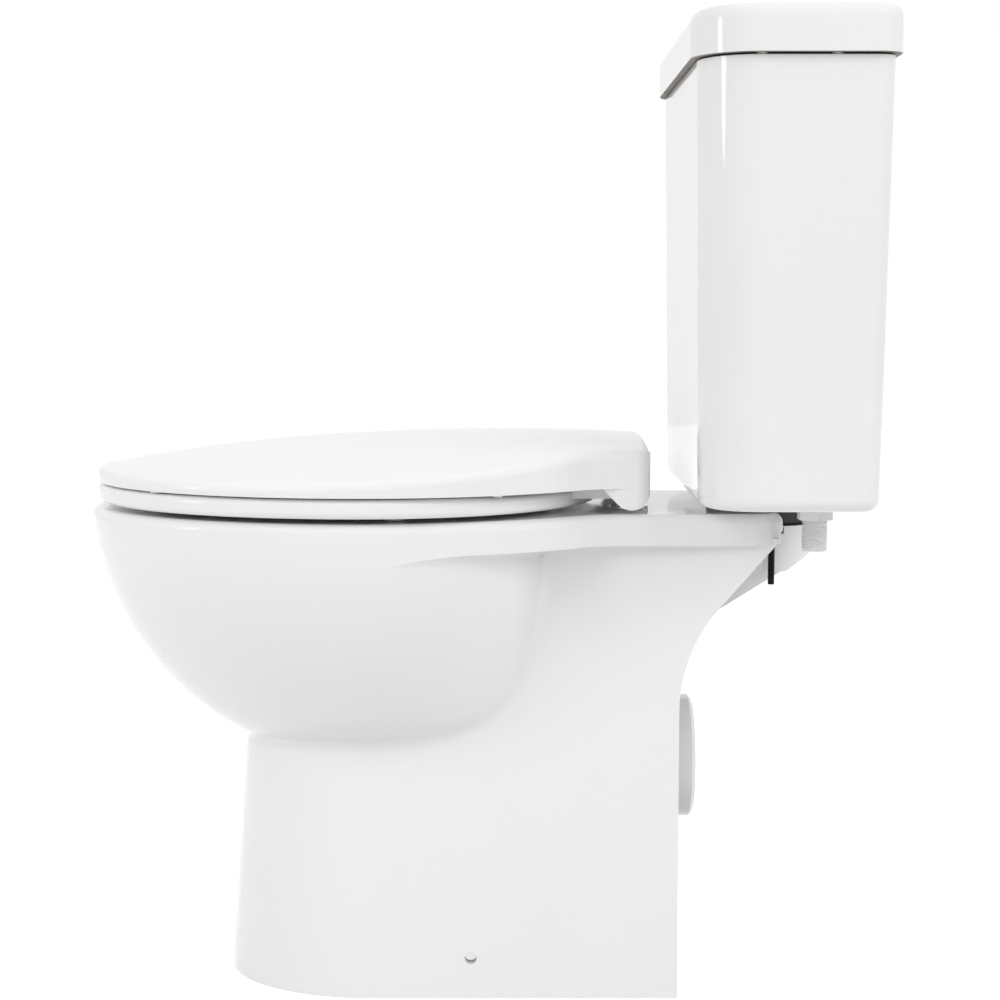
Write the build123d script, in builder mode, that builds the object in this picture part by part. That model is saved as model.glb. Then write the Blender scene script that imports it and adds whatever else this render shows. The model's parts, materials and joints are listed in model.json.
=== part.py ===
from math import cos, pi, sqrt
import os

from build123d import *

os.makedirs("parts", exist_ok=True)

# Close coupled toilet, mm. Floor at z = 0, wall side +Y, symmetry plane x = 0.
overall_depth = 646
overall_height = 790

# Pan
rim_height = 400
pan_width = 360
bowl_reach = 238
bowl_drop = 220
bowl_rear_reach = 168
rim_rear_reach = 230
rim_band = 25
rim_inset = 3.5
rim_fillet = 8
crease_fillet = 10
base_width = 206
base_setback = 112
base_lean = 0.075
waist_width = 162
haunch_width = 205
body_lap = 5
shelf_width = 212
shelf_corner = 24
shelf_flare = 60
shelf_back_land = 6.2
shelf_plate = 15
rear_sweep_depth = 84
rear_sweep_start = 238
pan_wall = 10
rim_width = 56
rim_lip = 42
rim_undercut = 16
opening_rear = 150
sump_width = 80
sump_front = 20
sump_rear = 85
sump_floor = 110
outlet_height = 180
outlet_diameter = 105
outlet_bore = 88
outlet_reach = 19
outlet_collar = 30
trap_bore = 56
trap_wall = 9
trap_bend = 45
trap_crest = 240
trap_entry = 45
trap_entry_rise = 20
side_hole = 10.5
side_hole_height = 34
side_hole_setback = 174.5

# Flush inlet and coupling
horn_radius = 48
seal_seat_drop = 16
horn_heel = 17
horn_drop = 57
horn_ledge = 38
horn_floor = 10.5
keel_width = 72
inlet_bore = 62
duct_width = 56
duct_height = 30
coupling_gap = 9
bolt_spacing = 128
bolt_diameter = 6
bolt_hole = 9
bolt_tail = 62
bolt_washer = 20
washer_thick = 3
plain_washer = 1.5
bolt_head = 14
bolt_head_height = 4
nut_height = 8.5
nut_span = 26
nut_wing = 3
nut_hub = 12

# Cistern
cistern_width = 364
cistern_depth = 145.5
cistern_draft_side = 4.5
cistern_draft_front = 4.5
cistern_draft_back = 5
cistern_wall = 10
cistern_floor = 13
cistern_front_corner = 45
cistern_back_corner = 14
cistern_heel = 10
lid_height = 36
lid_gap = 1.8
lid_overhang = 5.3
lid_edge = 10
lid_top = 12
lip_drop = 8
lip_wall = 8
lip_clearance = 2
pad_diameter = 8
pad_offset = 28

# Flush valve and buttons
valve_tail = 58
valve_bore = 42
valve_hole = 62
valve_tail_drop = 31
valve_flange = 84
valve_flange_height = 5
seat_rim = 5
back_nut = 76
back_nut_height = 10
seal_outer = 94
tower_height = 190
tower_diameter = 66
tower_wall = 3
tower_window = 65
tower_foot = 7
tower_cap = 80
tube_diameter = 28
tube_wall = 2
tube_height = 252
disc_diameter = 60
disc_thick = 3.6
rod_offset = 19
rod_diameter = 6
lever_pivot = 34
lever_arm = 16
lever_thick = 5
lever_width = 10
pivot_diameter = 5
pivot_rise = 17
boss_wall = 1.5
lug_thick = 4
button_travel = 8
lift_plate = 4
lift_plate_width = 24
float_offset = 60
float_size = 22
float_height = 46
button_hole = 54
sleeve_wall = 2.5
sleeve_drop = 26
bezel_diameter = 66
bezel_height = 4
button_proud = 1
button_thick = 6
button_split = -5
button_gap = 0.8
lock_nut = 70
lock_nut_height = 8

# Fill valve
fill_offset = 110
fill_setback = 45
fill_tail = 20.8
fill_tail_drop = 37
fill_relief = 1.5
fill_relief_depth = 0.6
fill_hole = 22.4
fill_bore = 13
fill_flange = 34
fill_flange_height = 4
fill_nut = 30
fill_nut_height = 9
column_diameter = 26
column_height = 162
head_diameter = 42
head_height = 36
float_cup_outer = 55
float_cup_inner = 29
float_cup_height = 55
float_travel = 14
link_offset = 24
link_diameter = 3
arm_thick = 4
arm_width = 8
arm_pivot = 4
arm_rise = 10

# Seat
seat_width = 366
seat_reach = 232
seat_rear_reach = 190
seat_thick = 15
seat_gap = 4.5
seat_opening = 224
seat_opening_front = 61
seat_opening_rear = 130
seat_edge = 5
buffer_diameter = 17
buffer_front = 75
buffer_rear = 263
seat_lid_overhang = 2
seat_lid_gap = 1.5
seat_lid_crown = 40
seat_lid_fall = 30
seat_lid_crest = 345
seat_lid_camber = 29
seat_lid_edge = 7
seat_lid_waist = 48
seat_lid_wall = 9
seat_lid_skin = 6
lobe_outer = 105
lobe_width = 13
lobe_radius = 15.5
lid_pad = 7
lid_pad_front = 73
lid_pad_rear = 343
hinge_setback = 45
hinge_rise = 19
hinge_pin = 8
pin_stop = 2
knuckle_radius = 7.5
knuckle_width = 16
post_width = 16
post_radius = 9
post_foot = 32
post_foot_height = 3.2
gasket_thick = 0.8
hinge_bolt = 8
hinge_hole = 14
hinge_bolt_tail = 48

# Clearances
running = 0.05
slide = 0.4
rest_gap = 0.2
tip_gap = 0.5

# Stations
pan_front = -overall_depth / 2
lid_back = overall_depth / 2
bowl_y = pan_front + bowl_reach
base_front = pan_front + base_setback
cistern_back = lid_back - lid_overhang
cistern_front = cistern_back - cistern_depth
cistern_y = (cistern_front + cistern_back) / 2
cistern_bottom = rim_height + coupling_gap
cistern_inside = cistern_bottom + cistern_floor
lid_bottom = overall_height - lid_height
cistern_top = lid_bottom - lid_gap
shelf_rear = cistern_y + shelf_back_land
base_rear = shelf_rear - rear_sweep_depth
outlet_end = base_rear + outlet_reach
seal_seat = rim_height - seal_seat_drop
shelf_under = rim_height - shelf_plate
rim_under = rim_height - rim_lip
hinge_y = cistern_front - hinge_setback
hinge_z = rim_height + hinge_rise
bolt_x = bolt_spacing / 2
fill_y = cistern_back - fill_setback
seat_lid_width = seat_width + 2 * seat_lid_overhang
seat_under = rim_height + seat_gap
seat_top = seat_under + seat_thick
seat_lid_under = seat_top + seat_lid_gap
seat_lid_top = seat_lid_under + seat_lid_crown


def at_height(edge, z):
    box = edge.bounding_box()
    return abs(box.min.Z - z) < 0.01 and abs(box.max.Z - z) < 0.01


# Body taper: half width at the bowl and at the shelf's rear, and front line at a height
def body_half(z, top_width):
    return (base_width + (top_width - base_width) * z / (rim_height - rim_band)) / 2


def body_front(z):
    return base_front + base_lean * z


# Bowl outside: share of the rim size left at a height
def bowl_size(z):
    return (1 - ((rim_height - z) / bowl_drop) ** 1.75) ** (1 / 2.2)


# Bowl inside: a bell from the rim's underside down to the sump, grown by a wall
def bell_sections(grow):
    for step in range(6):
        bell = (1 + cos(pi * step / 5)) / 2
        z = rim_under - (rim_under - sump_floor + grow) * step / 5
        rim_half = pan_width / 2 - rim_width + rim_undercut
        half = sump_width / 2 + (rim_half - sump_width / 2) * bell
        front = sump_front + (bowl_reach - rim_width + rim_undercut - sump_front) * bell
        rear = sump_rear + (opening_rear + rim_undercut / 2 - sump_rear) * bell
        yield z, half + grow, front + grow, rear + grow


with BuildPart() as bowl_lining:
    for z, half, front, rear in bell_sections(pan_wall):
        with BuildSketch(Plane.XY.offset(z)):
            with BuildLine():
                EllipticalCenterArc((0, bowl_y), half, front, 180, arc_size=180)
                EllipticalCenterArc((0, bowl_y), half, rear, 0, arc_size=180)
            make_face()
    loft()

# Hollow of the pedestal, open below and behind, round the bowl's underside
with BuildPart() as pan_hollow:
    for z in (0, shelf_under):
        half, haunch = body_half(z, waist_width) - pan_wall, body_half(z, haunch_width) - pan_wall
        with BuildSketch(Plane.XY.offset(z)):
            with BuildLine():
                EllipticalCenterArc((0, bowl_y), half, bowl_y - body_front(z) - pan_wall, 180, arc_size=180)
                Polyline((half, bowl_y), (haunch, shelf_rear), (-haunch, shelf_rear), (-half, bowl_y))
            make_face()
    loft()
    add(bowl_lining.part, mode=Mode.SUBTRACT)
    with BuildSketch(Plane.XY.offset(rim_under)):
        with BuildLine():
            EllipticalCenterArc((0, bowl_y), pan_width / 2, bowl_reach, 180, arc_size=180)
            EllipticalCenterArc((0, bowl_y), pan_width / 2, opening_rear + rim_undercut, 0, arc_size=180)
        make_face()
    extrude(amount=rim_lip, mode=Mode.SUBTRACT)

# Flush inlet: a horn with a sloping keel, and the water way inside it
heel = cistern_y + horn_radius
toe = cistern_y - 0.9 * horn_radius
keel_z = seal_seat - horn_heel - horn_drop
with BuildPart() as horn:
    with BuildSketch(Plane.YZ):
        with BuildLine():
            Polyline(
                (heel, seal_seat),
                (heel, seal_seat - horn_heel),
                (toe, keel_z),
                (bowl_y + opening_rear, keel_z),
                (bowl_y + opening_rear, seal_seat),
                close=True,
            )
        make_face()
    extrude(amount=horn_radius, both=True)
    with BuildSketch():
        with Locations((0, cistern_y)):
            Circle(horn_radius)
        with Locations((0, bowl_y)):
            Rectangle(2 * horn_radius, cistern_y - bowl_y, align=(Align.CENTER, Align.MIN))
    extrude(amount=rim_height, mode=Mode.INTERSECT)
    with BuildSketch(Plane.XY.offset(seal_seat - horn_ledge)):
        with Locations((0, cistern_y)):
            Rectangle(4 * horn_radius, 2 * (cistern_y - bowl_y))
            Rectangle(keel_width, 2 * (cistern_y - bowl_y), mode=Mode.SUBTRACT)
    extrude(amount=-horn_drop, mode=Mode.SUBTRACT)

with BuildPart() as water_way:
    with BuildSketch(Plane.YZ):
        with BuildLine():
            rear, front = cistern_y + inlet_bore / 2, cistern_y - inlet_bore / 2
            slope = horn_drop / (heel - toe)
            sill = seal_seat - horn_heel + horn_floor
            duct_z = rim_under - duct_height
            Polyline(
                (rear, seal_seat),
                (rear, sill - slope * (heel - rear)),
                (heel - (sill - duct_z) / slope, duct_z),
                (bowl_y + opening_rear - 20, duct_z),
                (bowl_y + opening_rear - 20, rim_under),
                (front, rim_under),
                (front, seal_seat),
                close=True,
            )
        make_face()
    extrude(amount=inlet_bore / 2, both=True)
    with BuildSketch():
        with Locations((0, cistern_y)):
            Circle(inlet_bore / 2)
        with Locations((0, bowl_y)):
            Rectangle(duct_width, cistern_y - bowl_y, align=(Align.CENTER, Align.MIN))
    extrude(amount=rim_height, mode=Mode.INTERSECT)

with BuildPart() as pan:
    # Pedestal and rear body, swept in under the shelf
    for z in (0, rim_height - rim_band + body_lap):
        half, haunch = body_half(z, waist_width), body_half(z, haunch_width)
        with BuildSketch(Plane.XY.offset(z)):
            with BuildLine():
                EllipticalCenterArc((0, bowl_y), half, bowl_y - body_front(z), 180, arc_size=180)
                Polyline(
                    (half, bowl_y),
                    (haunch, shelf_rear - body_lap),
                    (-haunch, shelf_rear - body_lap),
                    (-half, bowl_y),
                )
            make_face()
    loft()
    with BuildSketch(Plane.YZ):
        with BuildLine():
            rise = Line((base_rear, 0), (base_rear, rear_sweep_start))
            bend = TangentArc(
                rise @ 1,
                (base_rear + 0.38 * rear_sweep_depth, rear_sweep_start + 1.02 * rear_sweep_depth),
                tangent=(0, 1),
            )
            slope = Line(bend @ 1, bend @ 1 + (bend % 1) * 0.9 * rear_sweep_depth)
            Polyline(slope @ 1, (lid_back, (slope @ 1).Y), (lid_back, 0), rise @ 0)
        make_face()
    extrude(amount=base_width, both=True, mode=Mode.SUBTRACT)
    # Bowl
    for drop in (200, 186, 162, 125, 70, 0):
        z = rim_height - bowl_drop * drop / 220
        size = bowl_size(z)
        with BuildSketch(Plane.XY.offset(z)):
            with BuildLine():
                EllipticalCenterArc((0, bowl_y), pan_width / 2 * size, bowl_reach * size, 180, arc_size=180)
                EllipticalCenterArc((0, bowl_y), pan_width / 2 * size, bowl_rear_reach, 0, arc_size=180)
            make_face()
    loft()
    # Rim and shelf
    with BuildSketch(Plane.XY.offset(rim_height - rim_band)) as rim_plan:
        with BuildLine():
            rim_half = pan_width / 2 - rim_inset
            EllipticalCenterArc((0, bowl_y), rim_half, bowl_reach - 1.7 * rim_inset, 180, arc_size=180)
            EllipticalCenterArc((0, bowl_y), rim_half, rim_rear_reach, 0, arc_size=180)
        make_face()
        with Locations((0, shelf_rear)):
            RectangleRounded(shelf_width, shelf_rear - bowl_y, shelf_corner, align=(Align.CENTER, Align.MAX))
        waist = rim_plan.vertices().filter_by(
            lambda v: abs(abs(v.X) - shelf_width / 2) < 0.1 and v.Y < shelf_rear - 2 * shelf_corner
        )
        fillet(waist, shelf_flare)
    extrude(amount=rim_band)
    # Soft edges: where bowl, body and shelf meet, then the rim
    band_z = rim_height - rim_band
    creases = pan.edges().filter_by(
        lambda e: e.geom_type == GeomType.BSPLINE
        and rim_height - bowl_drop < e.bounding_box().min.Z < rim_height - 0.8 * bowl_drop
        and max(abs(e.bounding_box().min.X), e.bounding_box().max.X) < base_width / 2
    )
    creases += pan.edges().filter_by(
        lambda e: at_height(e, band_z)
        and e.geom_type == GeomType.BSPLINE
        and e.bounding_box().max.Y < hinge_y
    )
    fillet(creases, crease_fillet)
    fillet(pan.edges().filter_by(lambda e: at_height(e, rim_height)), rim_fillet)
    # Hollow, horn, trapway and outlet
    add(pan_hollow.part, mode=Mode.SUBTRACT)
    add(horn.part)
    with BuildLine(Plane.YZ) as trap_line:
        dip = (bowl_y + sump_rear - trap_entry, sump_floor + trap_entry_rise)
        crest = (dip[0] + trap_crest - dip[1], trap_crest)
        fall = (outlet_end - 1.6 * outlet_collar, outlet_height)
        FilletPolyline(dip, crest, fall, (outlet_end, outlet_height), radius=trap_bend)
    with BuildSketch(Plane(trap_line.line @ 0, z_dir=trap_line.line % 0)):
        Circle(trap_bore / 2 + trap_wall)
    sweep(path=trap_line.line)
    with BuildSketch(Plane.YZ):
        with BuildLine():
            r0, r1 = trap_bore / 2 + trap_wall, outlet_diameter / 2
            y0, y1 = fall[0] + 5, outlet_end
            Polyline(
                (y0, outlet_height),
                (y0, outlet_height + r0),
                (y1 - outlet_collar, outlet_height + r1),
                (y1 - 3, outlet_height + r1),
                (y1, outlet_height + r1 - 3),
                (y1, outlet_height),
                close=True,
            )
        make_face()
    revolve(axis=Axis((0, 0, outlet_height), (0, 1, 0)))
    with BuildSketch(Plane(trap_line.line @ 0, z_dir=trap_line.line % 0)):
        Circle(trap_bore / 2)
    sweep(path=trap_line.line, mode=Mode.SUBTRACT)
    with BuildSketch(Plane.YZ):
        with BuildLine():
            Polyline(
                (y1 - outlet_collar, outlet_height),
                (y1 - outlet_collar, outlet_height + trap_bore / 2),
                (y1 - 0.6 * outlet_collar, outlet_height + outlet_bore / 2),
                (y1 + 1, outlet_height + outlet_bore / 2),
                (y1 + 1, outlet_height),
                close=True,
            )
        make_face()
    revolve(axis=Axis((0, 0, outlet_height), (0, 1, 0)), mode=Mode.SUBTRACT)
    # Bowl: opening, then the bell below the rim
    with BuildSketch(Plane.XY.offset(rim_height)):
        with BuildLine():
            EllipticalCenterArc(
                (0, bowl_y), pan_width / 2 - rim_width, bowl_reach - rim_width, 180, arc_size=180
            )
            EllipticalCenterArc((0, bowl_y), pan_width / 2 - rim_width, opening_rear, 0, arc_size=180)
        make_face()
    extrude(amount=-rim_lip, mode=Mode.SUBTRACT)
    for z, half, front, rear in bell_sections(0):
        with BuildSketch(Plane.XY.offset(z)):
            with BuildLine():
                EllipticalCenterArc((0, bowl_y), half, front, 180, arc_size=180)
                EllipticalCenterArc((0, bowl_y), half, rear, 0, arc_size=180)
            make_face()
    loft(mode=Mode.SUBTRACT)
    # Flush inlet: seal seat, and the water way into the bowl under the rim
    with BuildSketch(Plane.XY.offset(seal_seat)):
        with Locations((0, cistern_y)):
            Circle(horn_radius + slide)
    extrude(amount=seal_seat_drop, mode=Mode.SUBTRACT)
    add(water_way.part, mode=Mode.SUBTRACT)
    # Holes for coupling bolts, seat hinges and floor screws
    with BuildSketch(Plane.XY.offset(rim_height)):
        with Locations((bolt_x, cistern_y), (-bolt_x, cistern_y)):
            Circle(bolt_hole / 2)
        with Locations((bolt_x, hinge_y), (-bolt_x, hinge_y)):
            Circle(hinge_hole / 2)
    extrude(amount=-rim_band, mode=Mode.SUBTRACT)
    with BuildSketch(Plane.YZ):
        with Locations((cistern_front - side_hole_setback, side_hole_height)):
            Circle(side_hole / 2)
    extrude(amount=base_width, both=True, mode=Mode.SUBTRACT)
pan.part.label = "pan"
export_step(pan.part, "parts/pan.step")


# Cistern outline: a rectangle with large front and small back corners
def tank_outline(half, front, back, front_corner, back_corner):
    with BuildSketch(mode=Mode.PRIVATE) as outline:
        with Locations((0, (front + back) / 2)):
            Rectangle(2 * half, back - front)
        fillet(outline.vertices().group_by(Axis.Y)[0], front_corner)
        fillet(outline.vertices().group_by(Axis.Y)[-1], back_corner)
    return outline.sketch


def tank_section(z, wall):
    low = (cistern_top - z) / (cistern_top - cistern_bottom)
    return tank_outline(
        cistern_width / 2 - cistern_draft_side * low - wall,
        cistern_front + cistern_draft_front * low + wall,
        cistern_back - cistern_draft_back * low - wall,
        cistern_front_corner - wall,
        max(cistern_back_corner - wall, 0.3 * cistern_back_corner),
    )


with BuildPart() as cistern:
    for z in (cistern_bottom, cistern_top):
        with BuildSketch(Plane.XY.offset(z)):
            add(tank_section(z, 0))
    loft()
    fillet(cistern.edges().filter_by(lambda e: at_height(e, cistern_bottom)), cistern_heel)
    for z in (cistern_inside, cistern_top):
        with BuildSketch(Plane.XY.offset(z)):
            add(tank_section(z, cistern_wall))
    loft(mode=Mode.SUBTRACT)
    with BuildSketch(Plane.XY.offset(cistern_bottom)):
        with Locations((0, cistern_y)):
            Circle(valve_hole / 2)
        with Locations((bolt_x, cistern_y), (-bolt_x, cistern_y)):
            Circle(bolt_hole / 2)
        with Locations((fill_offset, fill_y)):
            Circle(fill_hole / 2)
    extrude(amount=cistern_floor, mode=Mode.SUBTRACT)
cistern.part.label = "cistern"
export_step(cistern.part, "parts/cistern.step")

lip_inset = cistern_wall + lip_clearance
with BuildPart() as cistern_lid:
    with BuildSketch(Plane.XY.offset(lid_bottom)):
        add(tank_section(cistern_top, -lid_overhang))
    extrude(amount=lid_height)
    fillet(cistern_lid.edges().filter_by(lambda e: at_height(e, overall_height)), lid_edge)
    with BuildSketch(Plane.XY.offset(lid_bottom)):
        add(tank_section(cistern_top, lip_inset))
    extrude(amount=-lip_drop)
    with BuildSketch(Plane.XY.offset(lid_bottom - lip_drop)):
        add(tank_section(cistern_top, lip_inset + lip_wall))
    extrude(amount=lip_drop + lid_height - lid_top, mode=Mode.SUBTRACT)
    with BuildSketch(Plane.XY.offset(overall_height)):
        with Locations((0, cistern_y)):
            Circle(button_hole / 2)
    extrude(amount=-lid_height, mode=Mode.SUBTRACT)
cistern_lid.part.label = "cistern_lid"
export_step(cistern_lid.part, "parts/cistern_lid.step")

with BuildPart() as cistern_lid_pads:
    with BuildSketch(Plane.XY.offset(cistern_top)):
        with Locations((0, cistern_y)):
            with GridLocations(cistern_width - cistern_wall, 2 * pad_offset, 2, 2):
                Circle(pad_diameter / 2)
    extrude(amount=lid_gap)
cistern_lid_pads.part.label = "cistern_lid_pads"
export_step(cistern_lid_pads.part, "parts/cistern_lid_pads.step")

# Coupling: seal ring, bolts with their washers and wing nuts
with BuildPart() as coupling_seal:
    with BuildSketch(Plane.XY.offset(seal_seat)):
        with Locations((0, cistern_y)):
            Circle(seal_outer / 2)
            Circle(back_nut / 2 + slide, mode=Mode.SUBTRACT)
    extrude(amount=cistern_bottom - seal_seat)
    chamfer(coupling_seal.edges().group_by(Axis.Z)[0].sort_by(SortBy.LENGTH)[-1], 3)
coupling_seal.part.label = "coupling_seal"
export_step(coupling_seal.part, "parts/coupling_seal.step")

head_z = cistern_inside + washer_thick
with BuildPart() as coupling_bolts:
    with BuildSketch(Plane.XY.offset(rim_height - bolt_tail)):
        with Locations((bolt_x, cistern_y), (-bolt_x, cistern_y)):
            Circle(bolt_diameter / 2)
    extrude(amount=head_z - rim_height + bolt_tail)
    with BuildSketch(Plane.XY.offset(head_z)):
        with Locations((bolt_x, cistern_y), (-bolt_x, cistern_y)):
            Circle(bolt_head / 2)
    extrude(amount=bolt_head_height)
    fillet(coupling_bolts.edges().group_by(Axis.Z)[-1], bolt_head_height / 3)
    with BuildSketch(Plane.XY.offset(head_z + bolt_head_height)):
        with Locations((bolt_x, cistern_y), (-bolt_x, cistern_y)):
            Rectangle(bolt_head, bolt_head / 9)
    extrude(amount=-bolt_head_height / 2, mode=Mode.SUBTRACT)
coupling_bolts.part.label = "coupling_bolts"
export_step(coupling_bolts.part, "parts/coupling_bolts.step")

with BuildPart() as bolt_head_washers:
    with BuildSketch(Plane.XY.offset(cistern_inside)):
        with Locations((bolt_x, cistern_y), (-bolt_x, cistern_y)):
            Circle(bolt_washer / 2)
            Circle(bolt_diameter / 2 + running, mode=Mode.SUBTRACT)
    extrude(amount=washer_thick)
bolt_head_washers.part.label = "bolt_head_washers"
export_step(bolt_head_washers.part, "parts/bolt_head_washers.step")

with BuildPart() as bolt_clamp_washers:
    with BuildSketch(Plane.XY.offset(shelf_under)):
        with Locations((bolt_x, cistern_y), (-bolt_x, cistern_y)):
            Circle(bolt_washer / 2)
            Circle(bolt_diameter / 2 + running, mode=Mode.SUBTRACT)
    extrude(amount=-washer_thick)
bolt_clamp_washers.part.label = "bolt_clamp_washers"
export_step(bolt_clamp_washers.part, "parts/bolt_clamp_washers.step")

with BuildPart() as bolt_plain_washers:
    with BuildSketch(Plane.XY.offset(shelf_under - washer_thick)):
        with Locations((bolt_x, cistern_y), (-bolt_x, cistern_y)):
            Circle(bolt_washer / 2)
            Circle(bolt_diameter / 2 + running, mode=Mode.SUBTRACT)
    extrude(amount=-plain_washer)
bolt_plain_washers.part.label = "bolt_plain_washers"
export_step(bolt_plain_washers.part, "parts/bolt_plain_washers.step")

with BuildPart() as bolt_wing_nuts:
    with BuildSketch(Plane.XY.offset(shelf_under - washer_thick - plain_washer)):
        with Locations((bolt_x, cistern_y), (-bolt_x, cistern_y)):
            Circle(nut_hub / 2)
            RectangleRounded(nut_wing, nut_span, nut_wing / 2.1)
            Circle(bolt_diameter / 2 + running, mode=Mode.SUBTRACT)
    extrude(amount=-nut_height)
bolt_wing_nuts.part.label = "bolt_wing_nuts"
export_step(bolt_wing_nuts.part, "parts/bolt_wing_nuts.step")

# Flush valve on its own axis: threaded base with the seat, washer, back-nut
valve_plane = Plane.XZ.offset(-cistern_y)
valve_axis = Axis((0, cistern_y, 0), (0, 0, 1))
tail_z = cistern_bottom - valve_tail_drop
flange_z = cistern_inside + washer_thick
foot_z = flange_z + valve_flange_height
seat_z = foot_z + seat_rim
with BuildPart() as flush_valve_base:
    with BuildSketch(valve_plane):
        with BuildLine():
            Polyline(
                (valve_bore / 2, tail_z),
                (valve_tail / 2, tail_z),
                (valve_tail / 2, flange_z),
                (valve_flange / 2, flange_z),
                (valve_flange / 2, foot_z),
                (valve_bore / 2 + seat_rim, foot_z),
                (valve_bore / 2 + seat_rim / 2, seat_z),
                (valve_bore / 2, seat_z),
                close=True,
            )
        make_face()
    revolve(axis=valve_axis)
flush_valve_base.part.label = "flush_valve_base"
export_step(flush_valve_base.part, "parts/flush_valve_base.step")

with BuildPart() as flush_valve_washer:
    with BuildSketch(Plane.XY.offset(cistern_inside)):
        with Locations((0, cistern_y)):
            Circle(valve_flange / 2)
            Circle(valve_tail / 2 + running, mode=Mode.SUBTRACT)
    extrude(amount=washer_thick)
flush_valve_washer.part.label = "flush_valve_washer"
export_step(flush_valve_washer.part, "parts/flush_valve_washer.step")

with BuildPart() as flush_valve_nut:
    with BuildSketch(Plane.XY.offset(cistern_bottom)):
        with Locations((0, cistern_y)):
            Circle(back_nut / 2)
            with PolarLocations(back_nut / 2, 6):
                Circle(back_nut / 20, mode=Mode.SUBTRACT)
            Circle(valve_tail / 2 + running, mode=Mode.SUBTRACT)
    extrude(amount=-back_nut_height)
flush_valve_nut.part.label = "flush_valve_nut"
export_step(flush_valve_nut.part, "parts/flush_valve_nut.step")

# Tower: foot ring, legs, chamber, cap with lever lugs and the float's guide eye
chamber_z = foot_z + tower_window
cap_z = foot_z + tower_height
pivot_z = cap_z + pivot_rise
lug_gap = lever_width / 2 + slide
boss_radius = pivot_diameter / 2 + boss_wall
with BuildPart() as flush_valve_tower:
    with BuildSketch(Plane.XY.offset(foot_z)):
        with Locations((0, cistern_y)):
            Circle(tower_diameter / 2 + tower_wall)
            Circle(disc_diameter / 2 + 2, mode=Mode.SUBTRACT)
    extrude(amount=tower_foot)
    with BuildSketch(Plane.XY.offset(foot_z)):
        with Locations((0, cistern_y)):
            with PolarLocations((tower_diameter - tower_wall) / 2, 4, start_angle=45):
                Rectangle(tower_wall, 4 * tower_wall)
    extrude(amount=tower_window + tower_wall)
    with BuildSketch(Plane.XY.offset(chamber_z)):
        with Locations((0, cistern_y)):
            Circle(tower_diameter / 2)
            Circle(tower_diameter / 2 - tower_wall, mode=Mode.SUBTRACT)
    extrude(amount=cap_z - chamber_z)
    with BuildSketch(Plane.XY.offset(cap_z)):
        with Locations((0, cistern_y)):
            Circle(tower_cap / 2)
        with Locations((-float_offset, cistern_y)):
            Circle(2 * rod_diameter)
            Rectangle(float_offset, 2 * rod_diameter, align=(Align.MIN, Align.CENTER))
        with Locations((0, cistern_y)):
            Circle(tube_diameter / 2 + slide, mode=Mode.SUBTRACT)
        with Locations((-float_offset, cistern_y)):
            Circle(rod_diameter / 2 + slide, mode=Mode.SUBTRACT)
    extrude(amount=-tower_wall)
    for side in (1, -1):
        with BuildSketch(Plane.XZ.offset(-cistern_y - lug_gap)) as lug:
            with Locations((side * lever_pivot, pivot_z)):
                Circle(boss_radius)
                Rectangle(2 * boss_radius, pivot_rise, align=(Align.CENTER, Align.MAX))
                Circle(pivot_diameter / 2, mode=Mode.SUBTRACT)
        extrude(amount=-lug_thick)
        with BuildSketch(Plane.XZ.offset(-cistern_y + lug_gap)):
            add(lug.sketch_local)
        extrude(amount=lug_thick)
flush_valve_tower.part.label = "flush_valve_tower"
export_step(flush_valve_tower.part, "parts/flush_valve_tower.step")

# Overflow tube with its foot and lift plate; the disc seal under the foot
disc_z = seat_z + rest_gap
lever_top = pivot_z + lever_thick / 2
plate_z = pivot_z + boss_radius + tip_gap
with BuildPart() as overflow_tube:
    with BuildSketch(Plane.XY.offset(disc_z + disc_thick)):
        with Locations((0, cistern_y)):
            Circle(disc_diameter / 2 - 1)
    extrude(amount=lift_plate)
    with BuildSketch(Plane.XY.offset(disc_z + disc_thick)):
        with Locations((0, cistern_y)):
            Circle(tube_diameter / 2)
    extrude(amount=tube_height)
    with BuildSketch(Plane.XY.offset(plate_z)):
        with Locations((-rod_offset - rod_diameter, cistern_y)):
            Rectangle(
                lever_pivot + lever_arm + 2 * rod_offset,
                lift_plate_width,
                align=(Align.MIN, Align.CENTER),
            )
        with Locations((0, cistern_y)):
            Circle(tube_diameter / 2 + lift_plate)
        with Locations((rod_offset, cistern_y), (-rod_offset, cistern_y)):
            Circle(rod_diameter / 2 + slide, mode=Mode.SUBTRACT)
    extrude(amount=lift_plate)
    with BuildSketch(Plane.XY.offset(disc_z + disc_thick)):
        with Locations((0, cistern_y)):
            Circle(tube_diameter / 2 - tube_wall)
    extrude(amount=tube_height, mode=Mode.SUBTRACT)
overflow_tube.part.label = "overflow_tube"
export_step(overflow_tube.part, "parts/overflow_tube.step")

with BuildPart() as flush_disc_seal:
    with BuildSketch(Plane.XY.offset(disc_z)):
        with Locations((0, cistern_y)):
            Circle(disc_diameter / 2)
            Circle(tube_diameter / 2 - tube_wall, mode=Mode.SUBTRACT)
    extrude(amount=disc_thick)
flush_disc_seal.part.label = "flush_disc_seal"
export_step(flush_disc_seal.part, "parts/flush_disc_seal.step")

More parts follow.
